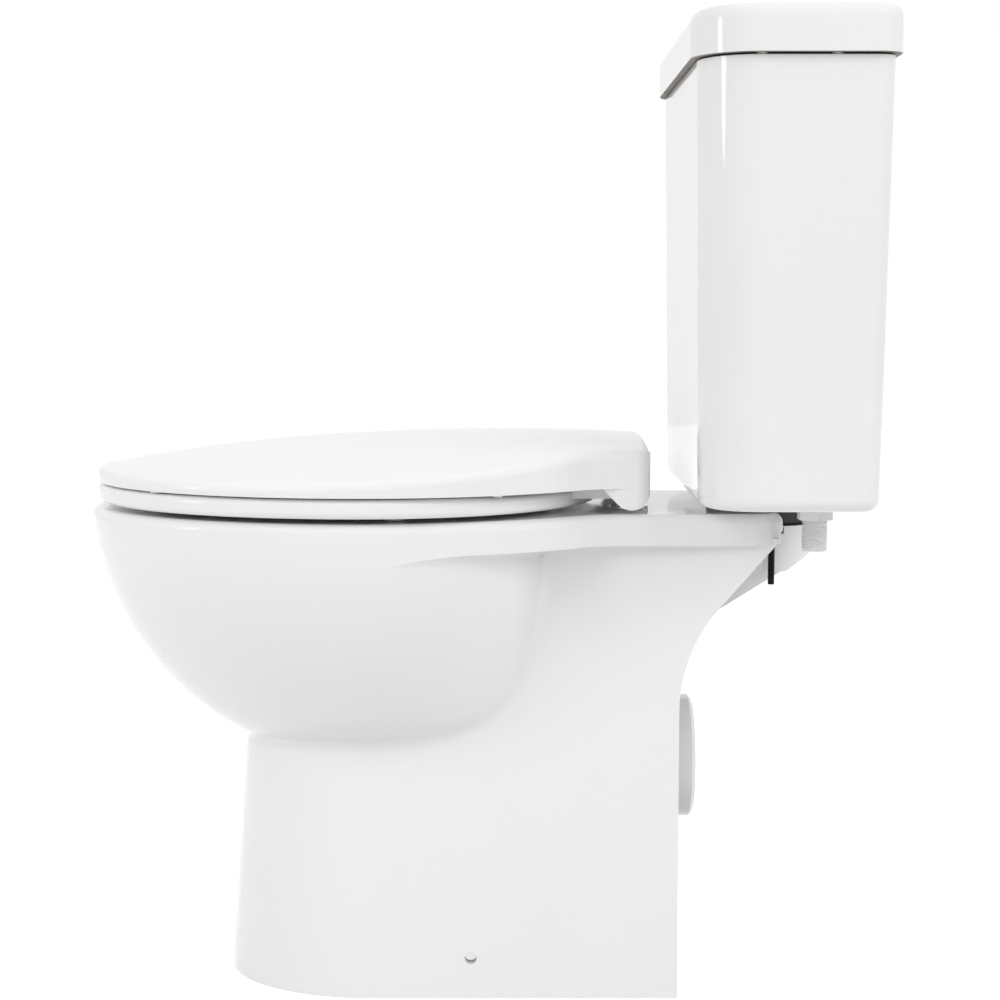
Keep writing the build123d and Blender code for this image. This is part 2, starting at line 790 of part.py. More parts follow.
# Levers on their pivots: the rod presses the inner end, the outer end lifts
for side, name in ((1, "full_flush"), (-1, "half_flush")):
    with BuildPart() as lever:
        with BuildSketch(Plane.XZ.offset(-cistern_y)):
            with Locations((side * lever_pivot, pivot_z)):
                SlotCenterToCenter(2 * lever_arm, lever_thick)
                Circle(boss_radius)
                Circle(pivot_diameter / 2 + running, mode=Mode.SUBTRACT)
            with Locations((side * (lever_pivot + lever_arm), pivot_z + boss_wall)):
                Circle(lever_thick / 2)
        extrude(amount=lever_width / 2, both=True)
    lever.part.label = name + "_lever"
    export_step(lever.part, "parts/" + name + "_lever.step")
    with BuildPart() as pivot:
        with BuildSketch(Plane.XZ.offset(-cistern_y)):
            with Locations((side * lever_pivot, pivot_z)):
                Circle(pivot_diameter / 2)
        extrude(amount=lug_gap + lug_thick, both=True)
    pivot.part.label = name + "_pivot"
    export_step(pivot.part, "parts/" + name + "_pivot.step")

with BuildPart() as half_flush_float:
    with BuildSketch(Plane.XY.offset(cap_z - tower_wall - float_height - button_travel - 2)):
        with Locations((-float_offset, cistern_y)):
            RectangleRounded(float_size, 1.4 * float_size, float_size / 5)
    extrude(amount=float_height)
    with BuildSketch(Plane.XY.offset(cap_z - tower_wall - float_height - button_travel - 2)):
        with Locations((-float_offset, cistern_y)):
            RectangleRounded(float_size - 4, 1.4 * float_size - 4, float_size / 6)
    extrude(amount=float_height - 3, mode=Mode.SUBTRACT)
    with BuildSketch(Plane.XY.offset(cap_z - tower_wall - button_travel - 4)):
        with Locations((-float_offset, cistern_y)):
            Circle(rod_diameter / 2)
    extrude(amount=plate_z - cap_z + tower_wall + button_travel + 4)
    with BuildSketch(Plane.XY.offset(plate_z)):
        with Locations((-float_offset, cistern_y)):
            Circle(float_offset - lever_pivot - lever_arm)
    extrude(amount=lift_plate)
half_flush_float.part.label = "half_flush_float"
export_step(half_flush_float.part, "parts/half_flush_float.step")

# Push button: bezel with its sleeve and rod guide, lock-nut, the two buttons and rods
sleeve_inner = button_hole / 2 - slide - sleeve_wall
guide_z = overall_height - sleeve_drop
button_top = overall_height + bezel_height + button_proud
with BuildPart() as button_bezel:
    with BuildSketch(valve_plane):
        with BuildLine():
            Polyline(
                (sleeve_inner, guide_z),
                (sleeve_inner + sleeve_wall, guide_z),
                (sleeve_inner + sleeve_wall, overall_height),
                (bezel_diameter / 2, overall_height),
                (bezel_diameter / 2, overall_height + bezel_height / 3),
                (bezel_diameter / 2 - bezel_height, overall_height + bezel_height),
                (sleeve_inner, overall_height + bezel_height),
                close=True,
            )
        make_face()
    revolve(axis=valve_axis)
    with BuildSketch(Plane.XY.offset(guide_z)):
        with Locations((0, cistern_y)):
            Rectangle(2 * sleeve_inner + sleeve_wall, 2 * rod_diameter)
        with Locations((rod_offset, cistern_y), (-rod_offset, cistern_y)):
            Circle(rod_diameter / 2 + slide, mode=Mode.SUBTRACT)
    extrude(amount=sleeve_wall)
button_bezel.part.label = "button_bezel"
export_step(button_bezel.part, "parts/button_bezel.step")

with BuildPart() as button_lock_nut:
    with BuildSketch(Plane.XY.offset(overall_height - lid_top)):
        with Locations((0, cistern_y)):
            Circle(lock_nut / 2)
            with PolarLocations(lock_nut / 2, 8):
                Circle(lock_nut / 24, mode=Mode.SUBTRACT)
            Circle(sleeve_inner + sleeve_wall + running, mode=Mode.SUBTRACT)
    extrude(amount=-lock_nut_height)
button_lock_nut.part.label = "button_lock_nut"
export_step(button_lock_nut.part, "parts/button_lock_nut.step")

for side, name in ((1, "full_flush"), (-1, "half_flush")):
    with BuildPart() as button:
        with BuildSketch(Plane.XY.offset(button_top - button_thick)):
            with Locations((0, cistern_y)):
                Circle(sleeve_inner - slide)
            with Locations((button_split + side * button_gap / 2, cistern_y)):
                Rectangle(
                    2 * sleeve_inner,
                    2 * sleeve_inner,
                    align=(Align.MIN if side > 0 else Align.MAX, Align.CENTER),
                    mode=Mode.INTERSECT,
                )
        extrude(amount=button_thick)
        fillet(button.edges().group_by(Axis.Z)[-1], 1)
    button.part.label = name + "_button"
    export_step(button.part, "parts/" + name + "_button.step")
    with BuildPart() as rod:
        with BuildSketch(Plane.XY.offset(lever_top + tip_gap)):
            with Locations((side * rod_offset, cistern_y)):
                Circle(rod_diameter / 2)
        extrude(amount=button_top - button_thick - lever_top - tip_gap)
    rod.part.label = name + "_rod"
    export_step(rod.part, "parts/" + name + "_rod.step")

# Fill valve on its own axis: shank, washer, back-nut, head, float and arm
fill_plane = Plane.XZ.offset(-fill_y)
fill_axis = Axis((fill_offset, fill_y, 0), (0, 0, 1))
fill_flange_z = cistern_inside + washer_thick
column_z = fill_flange_z + fill_flange_height
fill_head_z = column_z + column_height
relief_z = cistern_bottom - washer_thick - fill_nut_height - tip_gap
with BuildPart() as fill_valve_shank:
    with BuildSketch(fill_plane):
        with BuildLine():
            Polyline(
                (fill_offset + fill_bore / 2, cistern_bottom - fill_tail_drop),
                (fill_offset + fill_tail / 2, cistern_bottom - fill_tail_drop),
                (fill_offset + fill_tail / 2, relief_z - fill_relief),
                (fill_offset + fill_tail / 2 - fill_relief_depth, relief_z - fill_relief),
                (fill_offset + fill_tail / 2 - fill_relief_depth, relief_z),
                (fill_offset + fill_tail / 2, relief_z),
                (fill_offset + fill_tail / 2, fill_flange_z),
                (fill_offset + fill_flange / 2, fill_flange_z),
                (fill_offset + fill_flange / 2, column_z),
                (fill_offset + column_diameter / 2, column_z),
                (fill_offset + column_diameter / 2, fill_head_z),
                (fill_offset + fill_bore / 2, fill_head_z),
                close=True,
            )
        make_face()
    revolve(axis=fill_axis)
fill_valve_shank.part.label = "fill_valve_shank"
export_step(fill_valve_shank.part, "parts/fill_valve_shank.step")

with BuildPart() as fill_valve_washer:
    with BuildSketch(Plane.XY.offset(cistern_inside)):
        with Locations((fill_offset, fill_y)):
            Circle(fill_flange / 2)
            Circle(fill_tail / 2 + running, mode=Mode.SUBTRACT)
    extrude(amount=washer_thick)
fill_valve_washer.part.label = "fill_valve_washer"
export_step(fill_valve_washer.part, "parts/fill_valve_washer.step")

with BuildPart() as fill_valve_nut:
    with BuildSketch(Plane.XY.offset(cistern_bottom)):
        with Locations((fill_offset, fill_y)):
            Circle(fill_nut / 2 + washer_thick / 2)
            Circle(fill_tail / 2 + running, mode=Mode.SUBTRACT)
    extrude(amount=-washer_thick)
    with BuildSketch(Plane.XY.offset(cistern_bottom - washer_thick)):
        with Locations((fill_offset, fill_y)):
            RegularPolygon(fill_nut / 2, 6)
            Circle(fill_tail / 2 + running, mode=Mode.SUBTRACT)
    extrude(amount=-fill_nut_height)
fill_valve_nut.part.label = "fill_valve_nut"
export_step(fill_valve_nut.part, "parts/fill_valve_nut.step")

arm_z = fill_head_z + head_height + arm_rise
with BuildPart() as fill_valve_head:
    with BuildSketch(Plane.XY.offset(fill_head_z)):
        with Locations((fill_offset, fill_y)):
            Circle(head_diameter / 2)
    extrude(amount=head_height)
    fillet(fill_valve_head.edges().group_by(Axis.Z)[-1], head_height / 8)
    for side in (1, -1):
        with BuildSketch(Plane.XZ.offset(-fill_y - side * (arm_width / 2 + slide))):
            with Locations((fill_offset, arm_z)):
                Circle(arm_pivot)
                Rectangle(2 * arm_pivot, arm_rise, align=(Align.CENTER, Align.MAX))
                Circle(arm_pivot / 2, mode=Mode.SUBTRACT)
        extrude(amount=-side * arm_thick)
fill_valve_head.part.label = "fill_valve_head"
export_step(fill_valve_head.part, "parts/fill_valve_head.step")

with BuildPart() as float_arm_pivot:
    with BuildSketch(fill_plane):
        with Locations((fill_offset, arm_z)):
            Circle(arm_pivot / 2)
    extrude(amount=arm_width / 2 + slide + arm_thick, both=True)
float_arm_pivot.part.label = "float_arm_pivot"
export_step(float_arm_pivot.part, "parts/float_arm_pivot.step")

with BuildPart() as float_arm:
    with BuildSketch(fill_plane):
        with Locations((fill_offset - link_offset / 2, arm_z)):
            SlotCenterToCenter(link_offset, arm_thick)
        with Locations((fill_offset, arm_z)):
            Circle(arm_pivot - 0.5)
            Circle(arm_pivot / 2 + running, mode=Mode.SUBTRACT)
    extrude(amount=arm_width / 2, both=True)
float_arm.part.label = "float_arm"
export_step(float_arm.part, "parts/float_arm.step")

cup_z = fill_head_z - float_travel - tip_gap - float_cup_height
with BuildPart() as fill_float:
    with BuildSketch(Plane.XY.offset(cup_z)):
        with Locations((fill_offset, fill_y)):
            Circle(float_cup_outer / 2)
            Circle(float_cup_inner / 2, mode=Mode.SUBTRACT)
    extrude(amount=float_cup_height)
    fillet(fill_float.edges().group_by(Axis.Z)[-1].sort_by(SortBy.LENGTH)[-1], 4)
    with BuildSketch(Plane.XY.offset(cup_z)):
        with Locations((fill_offset, fill_y)):
            Circle(float_cup_outer / 2 - 2)
            Circle(float_cup_inner / 2 + 2, mode=Mode.SUBTRACT)
    extrude(amount=float_cup_height - 6, mode=Mode.SUBTRACT)
    with BuildSketch(Plane.XY.offset(cup_z + float_cup_height - 4)):
        with Locations((fill_offset - link_offset, fill_y)):
            Circle(link_diameter / 2)
    extrude(amount=arm_z - arm_thick / 2 - tip_gap - cup_z - float_cup_height + 4)
fill_float.part.label = "fill_float"
export_step(fill_float.part, "parts/fill_float.step")


# Seat outline: the egg of the rim, drawn in towards the hinge
def egg_half(y, half, front_reach, rear_reach):
    reach = front_reach if y < bowl_y else rear_reach
    return half * sqrt(1 - ((y - bowl_y) / reach) ** 2)


knuckle_x = lobe_outer - lobe_width - 2 - knuckle_width / 2
arm_share = (knuckle_x + knuckle_width / 2) / (seat_width / 2)
arm_root = bowl_y + seat_rear_reach * sqrt(1 - arm_share**2) - 2 * seat_edge
with BuildPart() as seat_ring:
    with BuildSketch(Plane.XY.offset(seat_under)):
        with BuildLine():
            EllipticalCenterArc((0, bowl_y), seat_width / 2, seat_reach, 180, arc_size=180)
            EllipticalCenterArc((0, bowl_y), seat_width / 2, seat_rear_reach, 0, arc_size=180)
        make_face()
    extrude(amount=seat_thick)
    with BuildSketch(Plane.XY.offset(seat_under)):
        with BuildLine():
            front = seat_reach - seat_opening_front
            EllipticalCenterArc((0, bowl_y), seat_opening / 2, front, 180, arc_size=180)
            EllipticalCenterArc((0, bowl_y), seat_opening / 2, seat_opening_rear, 0, arc_size=180)
        make_face()
    extrude(amount=seat_thick, mode=Mode.SUBTRACT)
    fillet(
        seat_ring.edges().filter_by(lambda e: at_height(e, seat_top) or at_height(e, seat_under)), seat_edge
    )
    for side in (1, -1):
        with BuildSketch(Plane.YZ.offset(side * knuckle_x)):
            with Locations((hinge_y, hinge_z)):
                Circle(knuckle_radius)
            with Locations((hinge_y, hinge_z)):
                Rectangle(hinge_y - arm_root, knuckle_radius, align=(Align.MAX, Align.MAX))
            with Locations((hinge_y, hinge_z)):
                Circle(hinge_pin / 2 + running, mode=Mode.SUBTRACT)
        extrude(amount=knuckle_width / 2, both=True)
seat_ring.part.label = "seat_ring"
export_step(seat_ring.part, "parts/seat_ring.step")

buffer_spots = []
for y in (pan_front + buffer_front, pan_front + buffer_rear):
    outer = egg_half(y, seat_width / 2, seat_reach, seat_rear_reach)
    inner = egg_half(y, seat_opening / 2, seat_reach - seat_opening_front, seat_opening_rear)
    buffer_spots += [((outer + inner) / 2, y), (-(outer + inner) / 2, y)]
with BuildPart() as seat_buffers:
    with BuildSketch(Plane.XY.offset(rim_height + rest_gap)):
        with Locations(*buffer_spots):
            Circle(buffer_diameter / 2)
    extrude(amount=seat_gap - rest_gap)
    fillet(seat_buffers.edges().group_by(Axis.Z)[0], 1)
seat_buffers.part.label = "seat_buffers"
export_step(seat_buffers.part, "parts/seat_buffers.step")


# Lid outline: the same egg, and a straight back end that covers the hinges
lid_rear = hinge_y + lobe_radius
lid_rear_reach = lid_rear - bowl_y - 5


def lid_outline(inset):
    with BuildSketch(mode=Mode.PRIVATE) as outline:
        with BuildLine():
            half, rear = seat_lid_width / 2 - inset, lid_rear_reach - inset
            end, back, corner = lobe_outer - inset, lid_rear - inset, lobe_width - inset / 2
            EllipticalCenterArc((0, bowl_y), half, seat_reach - inset, 180, arc_size=180)
            right = EllipticalCenterArc((0, bowl_y), half, rear, 0, arc_size=seat_lid_waist)
            left = EllipticalCenterArc(
                (0, bowl_y), half, rear, 180 - seat_lid_waist, arc_size=seat_lid_waist
            )
            Spline(right @ 1, (end, back - corner), tangents=(right % 1, (0, 1)))
            CenterArc((end - corner, back - corner), corner, 0, 90)
            Line((end - corner, back), (corner - end, back))
            CenterArc((corner - end, back - corner), corner, 90, 90)
            Spline((-end, back - corner), left @ 0, tangents=((0, -1), left % 0))
        make_face()
    return outline.sketch


# Space above the lid's crown: one wide arc carried along the lid's long profile
def above_crown(sink):
    with BuildPart() as space:
        half = 0.52 * seat_lid_width
        for share in (-0.064, 0.032, 0.15, 0.3, 0.47, 0.62, 0.74, 0.86, 0.99, 1.12):
            station = share * (lid_rear - pan_front)
            fall = seat_lid_fall * abs(1 - station / seat_lid_crest) ** 2.3 + sink
            side_z = seat_lid_top - seat_lid_camber - fall
            with BuildSketch(Plane.XZ.offset(-pan_front - station)):
                with BuildLine():
                    ThreePointArc((-half, side_z), (0, seat_lid_top - fall), (half, side_z))
                    Polyline(
                        (half, side_z),
                        (half, seat_lid_top + 2 * seat_lid_crown),
                        (-half, seat_lid_top + 2 * seat_lid_crown),
                        (-half, side_z),
                    )
                make_face()
        loft()
    return space.part


with BuildPart() as lid_core:
    with BuildSketch(Plane.XY.offset(seat_lid_under)):
        add(lid_outline(seat_lid_wall))
    extrude(amount=2 * seat_lid_crown)
    add(above_crown(seat_lid_skin), mode=Mode.SUBTRACT)

# Lobes that carry the pins: a web slopes down from the lid's edge; cut to the lid's outline
with BuildPart() as lid_lobes:
    for side in (1, -1):
        with BuildSketch(Plane.YZ.offset(side * (lobe_outer - lobe_width / 2))):
            with Locations((hinge_y, hinge_z)):
                Circle(lobe_radius)
                Rectangle(2 * lobe_radius, 2 * lobe_radius, align=(Align.CENTER, Align.MIN))
            with BuildLine():
                web = lobe_radius * sqrt(2)
                Polyline(
                    (hinge_y - web, hinge_z),
                    (hinge_y - web / 2, hinge_z - web / 2),
                    (hinge_y, hinge_z),
                    (hinge_y, hinge_z + lobe_radius),
                    (hinge_y - web - lobe_radius, hinge_z + lobe_radius),
                    close=True,
                )
            make_face()
        extrude(amount=lobe_width / 2, both=True)
    with BuildSketch(Plane.XY.offset(hinge_z - lobe_radius)):
        add(lid_outline(0))
    extrude(amount=4 * lobe_radius, mode=Mode.INTERSECT)

with BuildPart() as seat_lid:
    with BuildSketch(Plane.XY.offset(seat_lid_under)):
        add(lid_outline(0))
    extrude(amount=2 * seat_lid_crown)
    add(above_crown(0), mode=Mode.SUBTRACT)
    fillet(
        seat_lid.edges().filter_by(
            lambda e: e.geom_type != GeomType.LINE and e.bounding_box().min.Z > seat_lid_under + 1
        ),
        seat_lid_edge,
    )
    add(lid_core.part, mode=Mode.SUBTRACT)
    # Back edge raised between the lobes, so that the lid swings clear of the pan
    with BuildSketch(Plane.XY.offset(seat_lid_under)):
        with Locations((0, hinge_y)):
            Rectangle(2 * (lobe_outer - lobe_width), 4 * lobe_radius)
    extrude(amount=hinge_z + lobe_radius - seat_lid_under, mode=Mode.SUBTRACT)
    add(lid_lobes.part)
    for side in (1, -1):
        with BuildSketch(Plane.YZ.offset(side * (lobe_outer - lobe_width))):
            with Locations((hinge_y, hinge_z)):
                Circle(hinge_pin / 2 + running)
        extrude(amount=side * (lobe_width - pin_stop), mode=Mode.SUBTRACT)
seat_lid.part.label = "seat_lid"
export_step(seat_lid.part, "parts/seat_lid.step")

pad_spots = []
for y in (pan_front + lid_pad_front, pan_front + lid_pad_rear):
    inset = seat_lid_wall / 2
    x = egg_half(y, seat_lid_width / 2 - inset, seat_reach - inset, lid_rear_reach - inset)
    pad_spots += [(x, y), (-x, y)]
with BuildPart() as lid_buffers:
    with BuildSketch(Plane.XY.offset(seat_lid_under)):
        with Locations(*pad_spots):
            Circle(lid_pad / 2)
    extrude(amount=rest_gap - seat_lid_gap)
lid_buffers.part.label = "lid_buffers"
export_step(lid_buffers.part, "parts/lid_buffers.step")

# Hinges: posts with their studs on gaskets, pins, washers and wing nuts under the shelf
foot_top = rim_height + gasket_thick + post_foot_height
with BuildPart() as hinge_posts:
    with BuildSketch(Plane.XY.offset(rim_height + gasket_thick)):
        with Locations((bolt_x, hinge_y), (-bolt_x, hinge_y)):
            Circle(post_foot / 2)
    extrude(amount=post_foot_height)
    fillet(hinge_posts.edges().group_by(Axis.Z)[-1], post_foot_height / 2)
    for side in (1, -1):
        with BuildSketch(Plane.YZ.offset(side * bolt_x)):
            with Locations((hinge_y, hinge_z)):
                Circle(post_radius)
                Rectangle(2 * post_radius, hinge_z - foot_top + 1, align=(Align.CENTER, Align.MAX))
                Circle(hinge_pin / 2 + running, mode=Mode.SUBTRACT)
        extrude(amount=post_width / 2, both=True)
    with BuildSketch(Plane.XY.offset(rim_height - hinge_bolt_tail)):
        with Locations((bolt_x, hinge_y), (-bolt_x, hinge_y)):
            Circle(hinge_bolt / 2)
    extrude(amount=hinge_bolt_tail + gasket_thick + post_foot_height / 2)
hinge_posts.part.label = "hinge_posts"
export_step(hinge_posts.part, "parts/hinge_posts.step")

with BuildPart() as hinge_gaskets:
    with BuildSketch(Plane.XY.offset(rim_height)):
        with Locations((bolt_x, hinge_y), (-bolt_x, hinge_y)):
            Circle(post_foot / 2)
            Circle(hinge_bolt / 2 + running, mode=Mode.SUBTRACT)
    extrude(amount=gasket_thick)
hinge_gaskets.part.label = "hinge_gaskets"
export_step(hinge_gaskets.part, "parts/hinge_gaskets.step")

pin_start = bolt_x - post_width / 2 - hinge_pin / 4
with BuildPart() as hinge_pins:
    for side in (1, -1):
        with BuildSketch(Plane.YZ.offset(side * pin_start)):
            with Locations((hinge_y, hinge_z)):
                Circle(hinge_pin / 2)
        extrude(amount=side * (lobe_outer - pin_stop - slide - pin_start))
hinge_pins.part.label = "hinge_pins"
export_step(hinge_pins.part, "parts/hinge_pins.step")

with BuildPart() as hinge_washers:
    with BuildSketch(Plane.XY.offset(shelf_under)):
        with Locations((bolt_x, hinge_y), (-bolt_x, hinge_y)):
            Circle(nut_span / 2)
            Circle(hinge_bolt / 2 + running, mode=Mode.SUBTRACT)
    extrude(amount=-washer_thick)
hinge_washers.part.label = "hinge_washers"
export_step(hinge_washers.part, "parts/hinge_washers.step")

with BuildPart() as hinge_wing_nuts:
    with BuildSketch(Plane.XY.offset(shelf_under - washer_thick)):
        with Locations((bolt_x, hinge_y), (-bolt_x, hinge_y)):
            Circle(nut_hub / 2 + 1)
            RectangleRounded(nut_wing, 1.2 * nut_span, nut_wing / 2.1)
            Circle(hinge_bolt / 2 + running, mode=Mode.SUBTRACT)
    extrude(amount=-nut_height)
hinge_wing_nuts.part.label = "hinge_wing_nuts"
export_step(hinge_wing_nuts.part, "parts/hinge_wing_nuts.step")
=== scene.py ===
import json
import math
import bmesh
import bpy
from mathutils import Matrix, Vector


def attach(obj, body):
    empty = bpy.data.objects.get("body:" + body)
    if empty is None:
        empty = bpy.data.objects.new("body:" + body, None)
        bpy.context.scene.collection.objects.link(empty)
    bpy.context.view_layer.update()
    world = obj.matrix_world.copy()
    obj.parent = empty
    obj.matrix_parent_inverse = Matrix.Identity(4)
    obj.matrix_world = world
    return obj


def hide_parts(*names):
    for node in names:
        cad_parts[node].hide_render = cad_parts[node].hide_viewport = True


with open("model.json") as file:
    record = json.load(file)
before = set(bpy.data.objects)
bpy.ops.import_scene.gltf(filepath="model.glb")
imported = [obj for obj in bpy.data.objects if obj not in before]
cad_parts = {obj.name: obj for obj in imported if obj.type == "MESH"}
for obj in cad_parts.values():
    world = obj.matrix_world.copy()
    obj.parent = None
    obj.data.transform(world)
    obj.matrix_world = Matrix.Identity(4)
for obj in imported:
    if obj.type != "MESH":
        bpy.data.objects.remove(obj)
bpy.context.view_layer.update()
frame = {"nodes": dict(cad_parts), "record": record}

scene = bpy.context.scene
scene.view_settings.view_transform = "Standard"
cadNodes = frame["nodes"]
bodyOf = {node: body for body, names in frame["record"]["behaviour"]["bodies"].items() for node in names}
slotOf = {part["node"]: part["material_slot"] for part in frame["record"]["subparts"]}


# camera where the photographer stood: square on to the right-hand side, a little above the seat
view = {
    "place": (1.639, 0.0207, 0.5694),
    "pitchDown": 5.86,
    "turn": 89.96,
    "lens": 69.5,
    "sensor": 36.0,
    "farClip": 50,
}
cameraData = bpy.data.cameras.new("photoCamera")
cameraData.lens = view["lens"]
cameraData.sensor_width = view["sensor"]
cameraData.clip_end = view["farClip"]
camera = bpy.data.objects.new("photoCamera", cameraData)
camera.location = view["place"]
camera.rotation_euler = (math.radians(90 - view["pitchDown"]), 0, math.radians(view["turn"]))
scene.collection.objects.link(camera)
scene.camera = camera
print("camera set")


# studio: white floor, pale room, soft lamps
studio = {
    "floorSize": 14.0,
    "floorGlow": 0.62,          # what the camera sees of the floor besides its lit part
    "floorColour": (0.8, 0.8, 0.8),
    "roomColour": (1.0, 1.0, 1.0),
    "roomStrength": 0.74,
    "wallStrength": 0.0,
    "backdropStrength": 1.0,    # what the camera sees of the room
    "ceilingStart": 0.1,        # height of the sight line where the room starts to brighten
    "ceilingFull": 0.55,
    "lamps": [
        # name, place, aim, size, watts
        ("cornerSoftbox", (1.7, -1.7, 1.9), (0.0, 0.0, 0.35), 1.5, 23.5),
        ("rearSoftbox", (1.3, 1.9, 1.7), (0.0, 0.1, 0.3), 1.5, 22),
        ("lowSoftbox", (2.4, -0.6, 0.25), (0.0, 0.0, 0.3), 1.2, 4),
        ("glintLamp", (0.89, -1.99, 0.97), (0.17, 0.19, 0.72), 0.4, 1.7),
    ],
    "mirrored": "glintLamp",    # the one lamp that shows in the glaze
}


def deselectAll():
    if bpy.context.object and bpy.context.object.mode != "OBJECT":
        bpy.ops.object.mode_set(mode="OBJECT")
    bpy.ops.object.select_all(action="DESELECT")


def makeActive(piece):
    deselectAll()
    piece.select_set(True)
    bpy.context.view_layer.objects.active = piece


def seenDirectly(tree):
    rays = tree.nodes.new("ShaderNodeLightPath")
    seen = rays.outputs["Is Camera Ray"]
    for kind in ("Is Glossy Ray", "Is Transmission Ray"):
        either = tree.nodes.new("ShaderNodeMath")
        either.operation = "MAXIMUM"
        tree.links.new(seen, either.inputs[0])
        tree.links.new(rays.outputs[kind], either.inputs[1])
        seen = either.outputs[0]
    return seen


deselectAll()
bpy.ops.mesh.primitive_plane_add(size=studio["floorSize"], location=(0, 0, 0))
floor = bpy.context.object
floor.name = "studioFloor"
floorPaint = bpy.data.materials.new("floorPaint")
floorPaint.use_nodes = True
tree = floorPaint.node_tree
tree.nodes.clear()
out = tree.nodes.new("ShaderNodeOutputMaterial")
matte = tree.nodes.new("ShaderNodeBsdfDiffuse")
matte.inputs["Color"].default_value = (*studio["floorColour"], 1)
glow = tree.nodes.new("ShaderNodeEmission")
level = tree.nodes.new("ShaderNodeMath")
level.operation = "MULTIPLY"
level.inputs[1].default_value = studio["floorGlow"]
tree.links.new(seenDirectly(tree), level.inputs[0])
tree.links.new(level.outputs[0], glow.inputs["Strength"])
both = tree.nodes.new("ShaderNodeAddShader")
tree.links.new(matte.outputs[0], both.inputs[0])
tree.links.new(glow.outputs[0], both.inputs[1])
tree.links.new(both.outputs[0], out.inputs["Surface"])
floor.data.materials.append(floorPaint)

room = bpy.data.worlds.new("studioRoom")
scene.world = room
room.use_nodes = True
tree = room.node_tree
tree.nodes.clear()
out = tree.nodes.new("ShaderNodeOutputWorld")
strength = tree.nodes.new("ShaderNodeMapRange")
lookUp = tree.nodes.new("ShaderNodeTexCoord")
parts = tree.nodes.new("ShaderNodeSeparateXYZ")
ceiling = tree.nodes.new("ShaderNodeMapRange")  # the walls are dim, the ceiling bright
ceiling.interpolation_type = "SMOOTHSTEP"
ceiling.inputs["From Min"].default_value = studio["ceilingStart"]
ceiling.inputs["From Max"].default_value = studio["ceilingFull"]
ceiling.inputs["To Min"].default_value = studio["wallStrength"]
ceiling.inputs["To Max"].default_value = studio["roomStrength"]
tree.links.new(lookUp.outputs["Generated"], parts.inputs["Vector"])
tree.links.new(parts.outputs["Z"], ceiling.inputs["Value"])
tree.links.new(ceiling.outputs["Result"], strength.inputs["To Min"])
strength.inputs["To Max"].default_value = studio["backdropStrength"]
tree.links.new(seenDirectly(tree), strength.inputs["Value"])
sky = tree.nodes.new("ShaderNodeBackground")
sky.inputs["Color"].default_value = (*studio["roomColour"], 1)
tree.links.new(strength.outputs["Result"], sky.inputs["Strength"])
tree.links.new(sky.outputs[0], out.inputs["Surface"])

for name, place, aim, size, watts in studio["lamps"]:
    lampData = bpy.data.lights.new(name, "AREA")
    lampData.shape = "DISK"
    lampData.size = size
    lampData.energy = watts
    lamp = bpy.data.objects.new(name, lampData)
    lamp.location = place
    lamp.rotation_euler = (Vector(aim) - Vector(place)).to_track_quat("-Z", "Y").to_euler()
    lamp.visible_camera = False
    lamp.visible_glossy = name == studio["mirrored"]
    scene.collection.objects.link(lamp)
print("studio set")


# shared surface drift: slow change of tone and gloss, and a fine ripple in the surface
drift = bpy.data.node_groups.new("surfaceDrift", "ShaderNodeTree")
for label, kind, value in (
    ("Vector", "NodeSocketVector", None),
    ("Tone A", "NodeSocketColor", (0.8, 0.8, 0.8, 1)),
    ("Tone B", "NodeSocketColor", (0.8, 0.8, 0.8, 1)),
    ("Gloss Low", "NodeSocketFloat", 0.1),
    ("Gloss High", "NodeSocketFloat", 0.2),
    ("Patch Scale", "NodeSocketFloat", 9.0),
    ("Ripple Scale", "NodeSocketFloat", 180.0),
):
    socket = drift.interface.new_socket(name=label, in_out="INPUT", socket_type=kind)
    if value is not None:
        socket.default_value = value
for label, kind in (
    ("Color", "NodeSocketColor"),
    ("Roughness", "NodeSocketFloat"),
    ("Height", "NodeSocketFloat"),
):
    drift.interface.new_socket(name=label, in_out="OUTPUT", socket_type=kind)
given = drift.nodes.new("NodeGroupInput")
result = drift.nodes.new("NodeGroupOutput")
patches = drift.nodes.new("ShaderNodeTexNoise")
patches.inputs["Detail"].default_value = 3
ripple = drift.nodes.new("ShaderNodeTexNoise")
ripple.inputs["Detail"].default_value = 2
toneMix = drift.nodes.new("ShaderNodeMix")
toneMix.data_type = "RGBA"
glossRange = drift.nodes.new("ShaderNodeMapRange")
glossRange.inputs["From Min"].default_value = 0.3
glossRange.inputs["From Max"].default_value = 0.7
drift.links.new(given.outputs["Vector"], patches.inputs["Vector"])
drift.links.new(given.outputs["Vector"], ripple.inputs["Vector"])
drift.links.new(given.outputs["Patch Scale"], patches.inputs["Scale"])
drift.links.new(given.outputs["Ripple Scale"], ripple.inputs["Scale"])
drift.links.new(patches.outputs["Fac"], toneMix.inputs["Factor"])
drift.links.new(given.outputs["Tone A"], toneMix.inputs["A"])
drift.links.new(given.outputs["Tone B"], toneMix.inputs["B"])
drift.links.new(patches.outputs["Fac"], glossRange.inputs["Value"])
drift.links.new(given.outputs["Gloss Low"], glossRange.inputs["To Min"])
drift.links.new(given.outputs["Gloss High"], glossRange.inputs["To Max"])
drift.links.new(toneMix.outputs["Result"], result.inputs["Color"])
drift.links.new(glossRange.outputs["Result"], result.inputs["Roughness"])
drift.links.new(ripple.outputs["Fac"], result.inputs["Height"])

glazeCoatRoughness = 0.04


